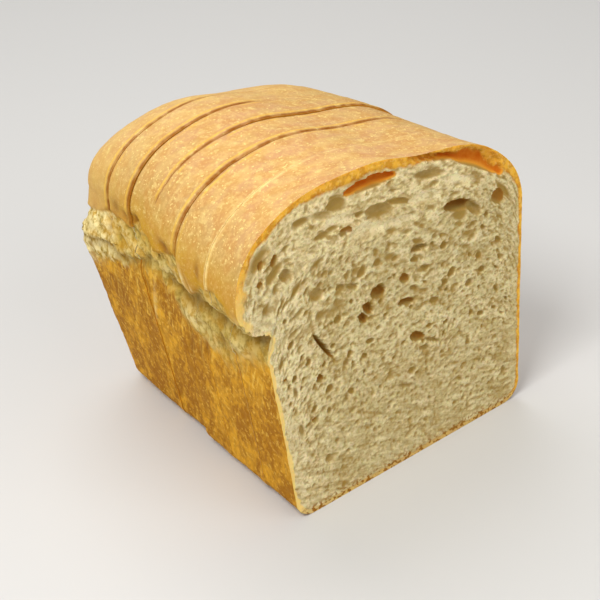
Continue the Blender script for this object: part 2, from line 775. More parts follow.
@dataclass(frozen=True)
class Hollow:
    """A hollow that shows on the cut face: its middle, half sizes and depth in millimetres, and its tilt.

    The bend is how far its ends hang below its middle, in half widths.
    """

    across: float
    height: float
    half_length: float
    half_width: float
    depth: float
    tilt: float = 0.0
    tint: Tint = Tint.OLIVE
    bend: float = 0.0
    unevenness: float = 0.25
    floor: float = 0.78
    slope: float = 0.30

    def bowl(self, across: Grid, height: Grid, wobble: Grid) -> tuple[Grid, Grid]:
        """The hollow's form: half an ellipsoid, sqrt(1 - r²), with an uneven edge and a sloping floor.

        Args:
            across: Across of each place.
            height: Height of each place.
            wobble: Noise that makes the edge uneven.

        Returns:
            Share of the full depth, and the place up the hollow, -1 at its lower edge and 1 at its upper.
        """
        angle = math.radians(self.tilt if abs(self.tilt) <= 90.0 else self.tilt + 180.0)
        x, z = across - self.across, height - self.height
        length = (x * math.cos(angle) + z * math.sin(angle)) / self.half_length
        width = (z * math.cos(angle) - x * math.sin(angle)) / self.half_width
        width = width + self.bend * length**2
        reach = (length**2 + width**2) * (1.0 + self.unevenness * wobble)
        round_bowl = np.sqrt(np.clip(1.0 - reach, 0.0, 1.0))
        return round_bowl * (self.floor + self.slope * np.clip(width, -1.0, 1.0)), width


HOLLOWS = (
    Hollow(37.4, 93.4, 12.6, 3.3, 3.2, -32.0, Tint.ORANGE, 0.7),
    Hollow(20.0, 99.9, 12.5, 1.3, 4.0, -17.0, Tint.ORANGE),
    Hollow(-5.6, 101.2, 10.2, 1.9, 3.6, -2.0, Tint.ORANGE, 0.35),
    Hollow(16.5, 95.6, 7.0, 1.5, 1.5, -13.0),
    Hollow(-3.0, 91.2, 5.4, 2.3, 1.8, -14.0),
    Hollow(-8.0, 86.5, 7.5, 2.6, 1.0, -12.0, Tint.PALE),
    Hollow(4.5, 84.6, 7.5, 2.0, 0.7, -8.0, Tint.PALE),
    Hollow(15.0, 88.5, 6.5, 2.2, 0.9, -10.0, Tint.PALE),
    Hollow(28.0, 89.5, 8.0, 1.8, 0.6, -22.0, Tint.PALE),
    Hollow(-17.0, 93.5, 6.0, 2.0, 0.7, -16.0, Tint.PALE),
    Hollow(-24.0, 97.6, 5.0, 1.6, 1.0, -12.0),
    Hollow(-15.0, 89.4, 2.2, 1.2, 1.2, -18.0, Tint.BROWN),
    Hollow(27.9, 81.1, 5.7, 1.9, 5.5, -11.0, Tint.BROWN),
    Hollow(34.3, 77.9, 4.3, 1.7, 2.4, -44.0),
    Hollow(44.7, 78.0, 3.0, 2.6, 1.9, -37.0, Tint.BROWN),
    Hollow(-27.6, 73.9, 2.9, 2.3, 1.7, -23.0),
    Hollow(-38.0, 84.4, 2.4, 2.1, 1.8, -16.0),
    Hollow(11.7, 73.0, 3.7, 1.0, 2.8, -6.0),
    Hollow(-4.8, 65.0, 3.0, 2.3, 3.8, -23.0, Tint.BROWN),
    Hollow(-8.9, 61.3, 2.5, 1.7, 3.2, -59.0, Tint.BROWN),
    Hollow(-11.1, 58.9, 2.2, 1.6, 3.2, -54.0, Tint.BROWN),
    Hollow(-26.3, 55.9, 7.0, 0.8, 4.5, -59.0, Tint.BROWN),
    Hollow(6.0, 57.1, 3.7, 1.2, 2.8, -12.0, Tint.BROWN),
    Hollow(9.9, 43.1, 3.3, 1.7, 2.8, -25.0, Tint.BROWN),
    Hollow(-16.0, 89.2, 2.6, 1.3, 1.6, -4.0),
    Hollow(5.6, 65.3, 2.3, 1.5, 2.0, -23.0, Tint.BROWN),
    Hollow(9.4, 60.5, 2.0, 1.0, 1.6, -23.0),
    Hollow(-14.5, 71.0, 2.3, 1.1, 1.6, -30.0),
    Hollow(-45.8, 90.7, 1.5, 1.0, 1.5, -113.0, Tint.BROWN),
    Hollow(-41.3, 90.5, 2.1, 1.1, 1.6, -117.0, Tint.BROWN),
    Hollow(-46.6, 84.9, 1.2, 1.0, 1.2, -144.0, Tint.BROWN),
    Hollow(32.1, 52.8, 1.7, 1.3, 1.6),
    Hollow(20.1, 55.6, 1.2, 0.9, 1.2),
    Hollow(16.3, 39.0, 4.0, 0.8, 1.6, -31.0),
    Hollow(12.8, 37.8, 2.5, 1.0, 1.4, -25.0),
    Hollow(-28.4, 45.8, 1.4, 1.4, 2.0, 0.0, Tint.BROWN),
    Hollow(-18.1, 46.8, 1.5, 1.2, 1.4),
    Hollow(-15.5, 44.3, 1.1, 0.9, 1.0),
    Hollow(-37.5, 45.2, 2.2, 0.9, 1.2, -77.0),
    Hollow(-40.9, 51.2, 0.8, 0.7, 1.0, 0.0, Tint.BROWN),
    Hollow(4.8, 27.6, 4.0, 0.6, 1.2, -22.0),
    Hollow(-31.5, 32.7, 0.9, 0.7, 1.2, 0.0, Tint.BROWN),
    Hollow(-36.3, 31.3, 2.8, 1.1, 1.2, -81.0),
    Hollow(-18.9, 34.7, 1.1, 0.9, 1.2),
    Hollow(-27.1, 16.6, 1.5, 1.4, 1.2),
    Hollow(47.1, 13.4, 2.1, 1.1, 1.2, -90.0),
)


@dataclass(frozen=True)
class PoreLayer:
    """One size of small pore scattered over the cut face, one chance for each cell of a lattice.

    Pitch, depth, heights and fade are in millimetres. Sizes and the margin, which a pore's middle keeps
    from its cell's edges, are shares of the pitch.
    """

    pitch: float
    stretch: float
    chance: float
    smallest: float
    largest: float
    depth: float
    low: float
    high: float
    fade: float
    seed: int
    margin: float = 0.15
    size_power: float = 1.6
    tilt_range: float = 0.9
    most_longer: float = 0.5
    bowl_power: float = 0.8

    def bowls(self, along: Grid, up: Grid, height: Grid) -> Grid:
        """Share of the layer's full depth at each place.

        Each lattice cell holds an ellipse at a random place, of a random size and tilt. Its bowl is a power
        of 1 - r², deeper where it is larger, and the deepest of the nine nearest counts.

        Args:
            along: Distance along the flow of the crumb.
            up: Distance across the flow.
            height: Height of each place, which sets where the layer fades out.

        Returns:
            Values from 0 to 1.
        """
        s, t = along / (self.pitch * self.stretch), up / self.pitch
        cell_s, cell_t = np.floor(s), np.floor(t)
        spread = 1.0 - 2.0 * self.margin
        deepest = np.zeros(s.shape)
        for step_s, step_t in itertools.product((-1, 0, 1), repeat=2):
            cell = [cell_s + step_s, cell_t + step_t]
            draws = [lattice_random(cell, self.seed + number) for number in range(6)]
            size = self.smallest + (self.largest - self.smallest) * draws[2] ** self.size_power
            angle = (draws[3] - 0.5) * self.tilt_range
            x = s - cell[0] - self.margin - spread * draws[0]
            y = t - cell[1] - self.margin - spread * draws[1]
            half_length = size * (1.0 + self.most_longer * draws[4])
            length = (x * np.cos(angle) + y * np.sin(angle)) / half_length
            width = (y * np.cos(angle) - x * np.sin(angle)) / size
            bowl = np.clip(1.0 - length**2 - width**2, 0.0, 1.0) ** self.bowl_power
            bowl = bowl * (0.5 + 0.5 * size / self.largest) * (draws[5] < self.chance)
            deepest = np.maximum(deepest, bowl)
        band = ease(height, self.low - self.fade, self.low + self.fade)
        return deepest * band * (1.0 - ease(height, self.high - self.fade, self.high + self.fade))


PORE_LAYERS = (
    PoreLayer(7.5, 1.9, 0.60, 0.14, 0.36, 1.0, 66.0, 200.0, 12.0, 101),
    PoreLayer(3.4, 1.7, 0.70, 0.16, 0.40, 0.65, 58.0, 200.0, 12.0, 131),
    PoreLayer(5.0, 1.2, 0.50, 0.12, 0.28, 1.3, 30.0, 80.0, 12.0, 151),
    PoreLayer(2.5, 1.3, 0.70, 0.16, 0.36, 0.6, 0.0, 90.0, 10.0, 171),
    PoreLayer(2.7, 2.4, 0.65, 0.14, 0.34, 0.45, -20.0, 44.0, 12.0, 191),
    PoreLayer(1.5, 1.4, 0.60, 0.20, 0.42, 0.36, -20.0, 200.0, 10.0, 211),
)


@dataclass(frozen=True)
class CrumbFace:
    """The cut face: the crust's rim round it, and the hollows and pores of the crumb.

    Widths, heights and depths are in millimetres. The pits are the smallest holes. hollow_band and
    pore_band are the depths over which a hole keeps smaller ones out of it, and open_band the distances
    from the outline over which the pores reach their full depth.
    """

    flow_width: float = 125.0
    flow_height: float = 100.0
    flow_sway: float = 1.6
    sway_along: Grain = Grain((9.0, 9.0), 41)
    sway_up: Grain = Grain((9.0, 9.0), 42)
    hollow_edge: Grain = Grain((2.0, 2.0), 43)
    rim_edge: Grain = Grain((3.5, 3.5), 44)
    grain: Grain = Grain((1.5, 0.9), 45, 2)

    torn_band: Band = (-38.0, -20.0)
    dome_band: Band = (70.0, 97.0)
    side_rim: float = 1.5
    dome_rim: float = 1.2
    dome_rim_band: Band = (72.0, 86.0)
    crown_rim: Bump = Bump(1.5, (-4.0,), (20.0,))
    shoulder_rim: Bump = Bump(2.6, (46.0, 89.0), (6.0, 6.0))
    foot_rim: Bump = Bump(0.6, (0.0,), (3.0,))
    pale_rim: float = 1.3
    pale_rim_band: Band = (70.0, 77.0)
    rim_sway: float = 0.5
    pale_rim_sway: float = 0.4
    rim_band: Band = (0.25, 1.15)
    torn_lip: Bump = Bump(0.9, (-49.0, 70.5), (6.5, 5.0))
    welded_rim: float = 0.7

    streak_fall: float = 20.0
    streak_length: float = 6.0
    streak_width: float = 0.8
    streak_seed: int = 46
    streak_band: Band = (16.0, 46.0)
    hollow_band: Band = (0.0, 0.6)
    pore_band: Band = (0.0, 0.5)
    open_band: Band = (2.0, 7.0)
    pit_band: Band = (0.10, 0.6)
    pit_loss_band: Band = (0.4, 1.2)
    pit_depth: float = 0.11
    grain_depth: float = 0.03

    def rim(self, across: Grid, height: Grid, edge: Grid) -> Grid:
        """The crust's rim.

        Its width grows from the sides to the dome, by round bumps at the crown, the plain shoulder and the
        foot, and down the torn side. A noise makes it uneven, and it is missing at the torn lip.

        Args:
            across: Across of each place.
            height: Height of each place.
            edge: Distance of each place from the outline.

        Returns:
            1 on the crust and 0 on the crumb.
        """
        pale_side = self.pale_side(across, height)
        dome_rim = self.dome_rim + self.crown_rim.at(across)
        width = self.side_rim + ease(height, *self.dome_rim_band) * dome_rim
        width = width + self.shoulder_rim.at(across, height) + self.foot_rim.at(height)
        width = width + self.pale_rim * pale_side * ease(height, *self.pale_rim_band)
        sway = self.rim_sway + self.pale_rim_sway * pale_side
        rim = 1.0 - ease(edge / (width * (1.0 + sway * self.rim_edge.at(across, height))), *self.rim_band)
        return rim * (1.0 - self.torn_lip.at(across, height))

    def hollows(self, across: Grid, height: Grid) -> tuple[Grid, dict[Tint, Grid]]:
        """The large hollows, of which the deepest counts at each place.

        Args:
            across: Across of each place.
            height: Height of each place.

        Returns:
            Their depth in millimetres, and the share by which each tint shows.
        """
        wobble = self.hollow_edge.at(across, height)
        press = np.zeros(across.shape)
        masks = {tint: np.zeros(across.shape) for tint in Tint}
        for hollow in HOLLOWS:
            bowl, rise = hollow.bowl(across, height, wobble)
            press = np.maximum(press, hollow.depth * bowl)
            shown = ease(bowl, 0.0, 0.4) * ease(rise, -1.1, -0.1)
            masks[hollow.tint] = np.maximum(masks[hollow.tint], shown)
        return press, masks

    def pits(self, across: Grid, height: Grid, grain: Grid, bend: Grid) -> Grid:
        """The smallest pits: peaks of the grain, and low on the face streaks of noise that fall sideways.

        Args:
            across: Across of each place.
            height: Height of each place.
            grain: The fine noise of the crumb.
            bend: Noise that bends the streaks.

        Returns:
            Values from 0 to 1.
        """
        falling = math.radians(self.streak_fall)
        along = across * math.cos(falling) - height * math.sin(falling)
        up = height * math.cos(falling) + across * math.sin(falling)
        flow = [along / self.streak_length + 0.3 * bend, up / self.streak_width + 1.2 * bend]
        low = 1.0 - ease(height, *self.streak_band)
        streaks = ease(layered_noise(flow, self.streak_seed, 2), 0.0, 0.5)
        return ease(grain, *self.pit_band) * (1.0 - 0.4 * low) + 0.6 * low * streaks

    def fields(self, share: tuple[Grid, Grid], across: Grid, height: Grid, edge: Grid) -> dict[str, Grid]:
        """How deep the face is pressed in, and what its finish reads.

        Larger holes win over smaller ones: each layer adds its depth times what is left of flat crumb.

        Args:
            share: The grid's two parameters, 0 to 1 across and up, which follow the outline.
            across: Across of each place.
            height: Height of each place.
            edge: Distance of each place from the outline.

        Returns:
            "press", the depth pressed in, in millimetres, and from 0 to 1 "rim", "pore", "warm", "brown",
            "fine", the smallest pits, and "pale", where crumb and rim are paler.
        """
        bend = self.sway_along.at(across, height)
        along = share[0] * self.flow_width + self.flow_sway * bend
        up = share[1] * self.flow_height + self.flow_sway * self.sway_up.at(across, height)
        rim = self.rim(across, height, edge)
        press, masks = self.hollows(across, height)
        taken = ease(press, *self.hollow_band)

        small = np.zeros(across.shape)
        for layer in PORE_LAYERS:
            untaken = 1.0 - ease(small, *self.pore_band)
            small = small + untaken * layer.depth * layer.bowls(along, up, height)
        small = small * (0.4 + 0.6 * ease(edge, *self.open_band))
        press = press + small * (1.0 - 0.85 * taken) * (1.0 - 0.75 * rim)
        pore = np.clip(1.2 * press, 0.0, 1.0) * (1.0 - 0.8 * masks[Tint.PALE] - 0.4 * masks[Tint.OLIVE])

        grain = self.grain.at(along, up)
        pits = self.pits(across, height, grain, bend)
        pits = pits * (1.0 - 0.8 * taken) * (1.0 - ease(small, *self.pit_loss_band))
        press = press + self.pit_depth * pits + self.grain_depth * (1.0 + grain)
        press = press * ease(edge, 0.0, self.welded_rim)
        pale = np.maximum(masks[Tint.PALE], self.pale_side(across, height))
        return {"press": press, "rim": rim, "pore": pore, "warm": masks[Tint.ORANGE],
                "brown": masks[Tint.BROWN], "fine": pits, "pale": pale}

    def pale_side(self, across: Grid, height: Grid) -> Grid:
        """Share by which the rim is pale, down the torn side."""
        return (1.0 - ease(across, *self.torn_band)) * (1.0 - ease(height, *self.dome_band))


class Shell:
    """Gathers the points and faces of one closed piece, in millimetres.

    A trait is a number from 0 to 1 at each point, which the finishes read: how far it is on the dome, say.
    """

    TRAITS = ("dome", "shred", "strand", "crease", "dark", "pale", "heel", "burnt", "gold", "rim", "pore",
              "warm", "brown", "fine", "hidden")

    def __init__(self) -> None:
        """Starts with no points and no faces."""
        self.points: list[Grid] = []
        self.traits: dict[str, list[Grid]] = {name: [] for name in self.TRAITS}
        self.corners: list[Grid] = []
        self.sizes: list[Grid] = []
        self.surfaces: list[Grid] = []
        self.sharp: list[Grid] = []
        self.count = 0

    def add_points(self, points: Grid, traits: dict[str, Grid]) -> Grid:
        """Adds points.

        Args:
            points: Their places, the last axis holding x, y and z.
            traits: Values of some traits, one for each point. The others are 0.

        Returns:
            The points' numbers, in the shape of the points without the last axis.
        """
        shape = points.shape[:-1]
        flat = points.reshape(-1, 3)
        self.points.append(flat)
        for name, values in self.traits.items():
            given = traits.get(name)
            values.append(np.zeros(len(flat)) if given is None else np.broadcast_to(given, shape).ravel())
        numbers = np.arange(self.count, self.count + len(flat)).reshape(shape)
        self.count += len(flat)
        return numbers

    def add_quads(self, numbers: Grid, surface: Surface, flip: bool = False) -> None:
        """Adds a quad for each cell of a grid of points.

        Args:
            numbers: The grid's point numbers.
            surface: The surface that the quads belong to.
            flip: True to turn the quads over.
        """
        quads = np.stack([numbers[:-1, :-1], numbers[:-1, 1:], numbers[1:, 1:], numbers[1:, :-1]], axis=-1)
        quads = quads.reshape(-1, 4)
        if flip:
            quads = quads[:, ::-1]
        self.corners.append(quads.ravel())
        self.sizes.append(np.full(len(quads), 4))
        self.surfaces.append(np.full(len(quads), surface.value))

    def add_lid(self, ring: Grid, surface: Surface, flip: bool = False) -> None:
        """Closes a ring with one flat face.

        Args:
            ring: The ring's point numbers.
            surface: The surface that the face belongs to.
            flip: True to turn the face over.
        """
        self.corners.append(ring[::-1] if flip else ring)
        self.sizes.append(np.array([len(ring)]))
        self.surfaces.append(np.array([surface.value]))

    def build(self, name: str, materials: list[bpy.types.Material]) -> bpy.types.Object:
        """Makes the mesh object.

        Args:
            name: The object's name.
            materials: Crust and crumb, in the order of Surface.

        Returns:
            The object, linked to the scene, at the origin.
        """
        points = np.concatenate(self.points) * MM
        corners, sizes = np.concatenate(self.corners), np.concatenate(self.sizes)
        mesh = bpy.data.meshes.new(name)
        mesh.vertices.add(len(points))
        mesh.vertices.foreach_set("co", points.astype(np.float32).ravel())
        mesh.loops.add(len(corners))
        mesh.loops.foreach_set("vertex_index", corners.astype(np.int32))
        mesh.polygons.add(len(sizes))
        starts = np.concatenate([[0], np.cumsum(sizes)[:-1]])
        mesh.polygons.foreach_set("loop_start", starts.astype(np.int32))
        mesh.polygons.foreach_set("material_index", np.concatenate(self.surfaces).astype(np.int32))
        for material in materials:
            mesh.materials.append(material)
        mesh.update(calc_edges=True)
        mesh.shade_smooth()
        for trait, values in self.traits.items():
            attribute = mesh.attributes.new(trait, "FLOAT", "POINT")
            attribute.data.foreach_set("value", np.concatenate(values).astype(np.float32))
        on_rim = np.zeros(len(points), dtype=bool)
        on_rim[np.concatenate(self.sharp)] = True
        ends = np.empty(2 * len(mesh.edges), dtype=np.int32)
        mesh.edges.foreach_get("vertices", ends)
        creased = on_rim[ends.reshape(-1, 2)].all(axis=1)
        mesh.attributes.new("sharp_edge", "BOOLEAN", "EDGE").data.foreach_set("value", creased)
        return new_object(name, mesh)


@dataclass(frozen=True)
class LoafPiece:
    """A piece of the loaf between two cuts. Subclasses say how its two ends are closed.

    number counts the pieces from the cut face. The outline has across_count steps over the dome and along
    the board, and up_count up and down the sides; rows are the outlines from cut to cut. cut_rings gives
    each ring of a cut's face by its size and its share of crust.
    """

    node: str
    number: int
    slot: str
    form: LoafForm = field(default_factory=LoafForm)
    relief: CrustRelief = field(default_factory=CrustRelief)
    across_count: int = 300
    up_count: int = 200
    rows: int = 32
    row_squeeze: float = 0.09
    corner_lift: float = 0.5
    corner_lift_band: Band = (0.0, 30.0)
    board_band: Band = (0.0, 3.0)
    clear_openings: Band = (0.06, 0.17)
    browned_opening: float = 0.2
    crumb_middle: tuple[float, float] = (6.0, 48.0)
    cut_rings: Table = ((0.985, 1.0), (0.965, 1.0), (0.94, 0.3), (0.5, 0.0), (0.2, 0.0), (0.02, 0.0))

    def levels(self) -> Grid:
        """Depths of the outlines from cut to cut, closer near both: t - a sin 2πt of the way.

        Returns:
            The depths, from the near end to the far end.
        """
        start = 0.0 if self.number == 0 else self.form.cut_depths[self.number - 1]
        share = np.linspace(0.0, 1.0, self.rows + 1)
        share = share - self.row_squeeze * np.sin(2.0 * np.pi * share)
        return start + (self.form.cut_depths[self.number] - start) * share

    def far_depth(self, across: Grid, height: Grid) -> Grid:
        """Depth of the far end over each outline: the near side of its cut."""
        return self.form.cut_side(self.number, across, height, -1.0)

    def skin(self) -> tuple[Grid, dict[str, Grid]]:
        """The crust's points with their relief.

        Each outline is moved to its share of the way from the near end to the far end, and then out along
        the surface's normals by the relief.

        Returns:
            Points of shape (rows, stations, 3), depth from the cut face as y, and the crust's fields.
        """
        form, levels = self.form, self.levels()
        across, height = form.outline(levels[:, None], form.stations(self.across_count, self.up_count))
        corner = form.corner_drop(levels)[:, None]
        height = height + self.corner_lift * corner * (1.0 - ease(height, *self.corner_lift_band))
        share = ((levels - levels[0]) / (levels[-1] - levels[0]))[:, None]
        near = np.zeros(across.shape[1])
        if self.number > 0:
            near = form.cut_side(self.number - 1, across[0], height[0], 1.0)
        far = self.far_depth(across, height)
        depth = near + (far - near) * share
        edges = [self.cut_edge(self.number - 1, depth - near, across, height),
                 self.cut_edge(self.number, far - depth, across, height)]
        fields = self.relief.fields(depth, across, height, *edges)
        smooth = np.stack([across, depth, height], axis=2)
        rise = fields["rise"] * ease(height, *self.board_band)
        points = smooth + rise[..., None] * self.normals(smooth)
        points[..., 2] = np.maximum(points[..., 2], 0.0)
        return points, fields

    def cut_edge(self, cut: int, distance: Grid, across: Grid, height: Grid) -> CutEdge:
        """The piece's edge at a cut, which shows clearly where the cut has opened enough.

        Args:
            cut: The cut's number. The cut face and the end wall have none.
            distance: Distance of each place from the cut.
            across: Across of each place.
            height: Height of each place.

        Returns:
            The edge, or one that doesn't show where there is no cut.
        """
        if not 0 <= cut < len(self.form.cut_depths):
            return CutEdge()
        return CutEdge(distance, ease(self.form.opening(cut, across, height), *self.clear_openings))

    def normals(self, points: Grid) -> Grid:
        """Unit normals in the plane of each outline: its step turned a quarter outwards."""
        step = np.roll(points, -1, axis=1) - np.roll(points, 1, axis=1)
        return unit(np.stack([-step[..., 2], 0.0 * step[..., 1], step[..., 0]], axis=2))

    def patch(self, ring: Grid) -> tuple[Grid, Grid, Grid]:
        """Fills an outline with a grid: a Coons patch, the sum of the two rulings between opposite sides
        less the bilinear surface of the four corners.

        Args:
            ring: The outline's points, shape (stations, 2), from the torn foot up.

        Returns:
            Points of the grid, shape (up, across, 2), and its two parameters.
        """
        wide, tall = self.across_count, self.up_count
        loop = np.vstack([ring, ring[:1]])
        left, top = loop[: tall + 1], loop[tall : tall + wide + 1]
        right = loop[tall + wide : 2 * tall + wide + 1][::-1]
        bottom = loop[2 * tall + wide :][::-1]
        u = np.linspace(0.0, 1.0, wide + 1)[None, :, None]
        v = np.linspace(0.0, 1.0, tall + 1)[:, None, None]
        ruled = (1 - u) * left[:, None] + u * right[:, None] + (1 - v) * bottom[None] + v * top[None]
        corners = ((1 - u) * (1 - v) * left[0] + u * (1 - v) * right[0]
                   + (1 - u) * v * left[-1] + u * v * right[-1])
        flat = ruled - corners
        return flat, np.broadcast_to(u[..., 0], flat.shape[:2]), np.broadcast_to(v[..., 0], flat.shape[:2])

    def add_patch(self, shell: Shell, ring: Grid, points: Grid, fields: dict[str, Grid],
                  surface: Surface, flip: bool = False) -> None:
        """Closes an end with a patch, whose border is the outline itself.

        Args:
            shell: The shell that is built.
            ring: The outline's point numbers.
            points: The patch's points, shape (up, across, 3).
            fields: Traits of the patch's points.
            surface: The surface that the patch belongs to.
            flip: True to turn its faces over.
        """
        wide, tall = self.across_count, self.up_count
        inside = (slice(1, -1), slice(1, -1))
        traits = {name: values[inside] for name, values in fields.items()}
        numbers = np.zeros((tall + 1, wide + 1), dtype=int)
        numbers[inside] = shell.add_points(points[inside], traits)
        numbers[:tall, 0] = ring[:tall]
        numbers[tall, :wide] = ring[tall : tall + wide]
        numbers[tall:0:-1, wide] = ring[tall + wide : 2 * tall + wide]
        numbers[0, wide:0:-1] = ring[2 * tall + wide :]
        shell.add_quads(numbers, surface, flip)

    def add_cut(self, shell: Shell, points: Grid, numbers: Grid, flip: bool) -> None:
        """Closes an end with rings that shrink towards the middle of the crumb and a small lid.

        Args:
            shell: The shell that is built.
            points: The end outline's points, shape (stations, 3).
            numbers: Their numbers.
            flip: True for the end that faces the cut face of the loaf.
        """
        middle = np.array([self.crumb_middle[0], points[:, 1].mean(), self.crumb_middle[1]])
        rings = [numbers]
        cut = self.number - 1 if flip else self.number
        crusted = 1.0 - shell.traits["shred"][0][numbers]
        browned = crusted * min(1.0, self.form.cut_openings[cut] / self.browned_opening)
        for trait in ("rim", "hidden"):
            shell.traits[trait][0][numbers] = browned
        for size, rim in self.cut_rings:
            traits = {"rim": rim * crusted, "hidden": browned}
            rings.append(shell.add_points(middle + (points - middle) * size, traits))
        around = np.array([np.append(ring, ring[0]) for ring in rings])
        shell.add_quads(around, Surface.CRUMB, flip)
        shell.add_lid(rings[-1], Surface.CRUMB, flip)

    def close_near(self, shell: Shell, points: Grid, numbers: Grid) -> None:
        """Closes the end towards the cut face."""
        self.add_cut(shell, points, numbers, True)

    def close_far(self, shell: Shell, points: Grid, numbers: Grid) -> None:
        """Closes the end towards the heel."""
        self.add_cut(shell, points, numbers, False)

    def build(self, materials: list[bpy.types.Material]) -> bpy.types.Object:
        """Makes the piece, in place of its CAD node.

        Args:
            materials: Crust and crumb.

        Returns:
            The finished object.
        """
        shell = Shell()
        points, fields = self.skin()
        fields.pop("rise")
        numbers = shell.add_points(points, fields)
        around = np.concatenate([numbers, numbers[:, :1]], axis=1)
        shell.add_quads(around, Surface.CRUST)
        self.close_near(shell, points[0], numbers[0])
        self.close_far(shell, points[-1], numbers[-1])
        shell.sharp += [numbers[0], numbers[-1]]
        shift = np.array([self.form.slice_shifts[self.number], -self.form.mid_depth, 0.0])
        shell.points = [part + shift for part in shell.points]
        obj = shell.build(f"{self.node}_baked", materials)
        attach(obj, "root")
        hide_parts(self.node)
        LOG.info("%s: %d faces", obj.name, len(obj.data.polygons))
        return obj


@dataclass(frozen=True)
class CutSlice(LoafPiece):
    """The first slice, whose near end is the cut face of the loaf."""

    face: CrumbFace = field(default_factory=CrumbFace)

    def close_near(self, shell: Shell, points: Grid, numbers: Grid) -> None:
        """Closes the near end with the crumb of the cut face.

        Args:
            shell: The shell that is built.
            points: The end outline's points, shape (stations, 3).
            numbers: Their numbers.
        """
        ring = points[:, [0, 2]]
        flat, u, v = self.patch(ring)
        across, height = flat[..., 0], flat[..., 1]
        edge = self.edge_distance(flat, ring)
        fields = self.face.fields((u, v), across, height, edge)
        shell.traits["rim"][0][numbers] = 1.0 - self.face.torn_lip.at(ring[:, 0], ring[:, 1])
        pressed = np.stack([across, fields.pop("press"), height], axis=2)
        self.add_patch(shell, numbers, pressed, fields, Surface.CRUMB)

    @staticmethod
    def edge_distance(flat: Grid, ring: Grid) -> Grid:
        """Distance of each grid point from the nearest point of the outline, one grid row at a time."""
        rows = [np.sqrt(((row[:, None] - ring[None]) ** 2).sum(axis=2).min(axis=1)) for row in flat]
        return np.array(rows)


@dataclass(frozen=True)
class Heel(LoafPiece):
    """The last piece, whose far end is the baked end wall."""

    across_count: int = 240
    up_count: int = 160
    rows: int = 36
    corner_rows: int = 18
    relief_band: Band = (0.0, 0.15)

    def levels(self) -> Grid:
        """Depths of the outlines: even steps to the corner, then steps of equal turn round it.

        Returns:
            The depths, from the last cut to the end wall.
        """
        start, turn = self.form.cut_depths[-1], self.form.turn
        straight = np.linspace(start, turn, self.rows, endpoint=False)
        angle = np.linspace(0.0, np.pi / 2, self.corner_rows + 1)
        return np.concatenate([straight, turn + self.form.pan_corner * np.sin(angle)])

    def far_depth(self, across: Grid, height: Grid) -> Grid:
        """Depth of the end wall over each outline."""
        return self.form.end_wall(across, height)

    def normals(self, points: Grid) -> Grid:
        """Unit normals: the step round the loaf crossed with the step towards the heel.

        Args:
            points: The smooth form's points, shape (rows, stations, 3).

        Returns:
            The normals, in the same shape. Those at the cut stay in its plane.
        """
        around = np.roll(points, -1, axis=1) - np.roll(points, 1, axis=1)
        normal = unit(np.cross(around, np.gradient(points, axis=0)))
        normal[0, :, 1] = 0.0
        return normal

    def close_far(self, shell: Shell, points: Grid, numbers: Grid) -> None:
        """Closes the far end with the end wall, which bulges by 16 u (1 - u) v (1 - v) of the end bulge.

        Args:
            shell: The shell that is built.
            points: The end outline's points, shape (stations, 3).
            numbers: Their numbers.
        """
        flat, u, v = self.patch(points[:, [0, 2]])
        across, height = flat[..., 0], flat[..., 1]
        bulge = 16.0 * u * (1.0 - u) * v * (1.0 - v)
        depth = self.form.end_wall(across, height) + self.form.end_bulge * bulge
        fields = self.relief.fields(depth, across, height, CutEdge(), CutEdge())
        depth = depth + fields.pop("rise") * ease(np.sqrt(bulge), *self.relief_band)
        wall = np.stack([across, depth, height], axis=2)
        self.add_patch(shell, numbers, wall, fields, Surface.CRUST, True)


class Value:
    """A shader socket that holds a number. Sums and products of values add Math nodes."""

    def __init__(self, nodes: "NodeKit", socket: bpy.types.NodeSocket) -> None:
        """Wraps the socket of a node in the given tree."""
        self.nodes = nodes
        self.socket = socket

    def _math(self, operation: str, *inputs: Any) -> "Value":
        """Adds one Math node."""
        return self.nodes.value("ShaderNodeMath", {"operation": operation}, dict(enumerate(inputs)))

    def __add__(self, other: Any) -> "Value":
        """This plus other."""
        return self._math("ADD", self, other)

    def __sub__(self, other: Any) -> "Value":
        """This minus other."""
        return self._math("SUBTRACT", self, other)

    def __rsub__(self, other: Any) -> "Value":
        """Other minus this."""
        return self._math("SUBTRACT", other, self)

    def __mul__(self, other: Any) -> "Value":
        """This times other."""
        return self._math("MULTIPLY", self, other)

    __radd__ = __add__
    __rmul__ = __mul__

    def eased(self, low: float, high: float) -> "Value":
        """Smooth step.

        Args:
            low: Where it is 0.
            high: Where it is 1.

        Returns:
            The step's value.
        """
        settings = {"interpolation_type": "SMOOTHSTEP"}
        inputs = {"Value": self, "From Min": low, "From Max": high}
        return self.nodes.value("ShaderNodeMapRange", settings, inputs, "Result")


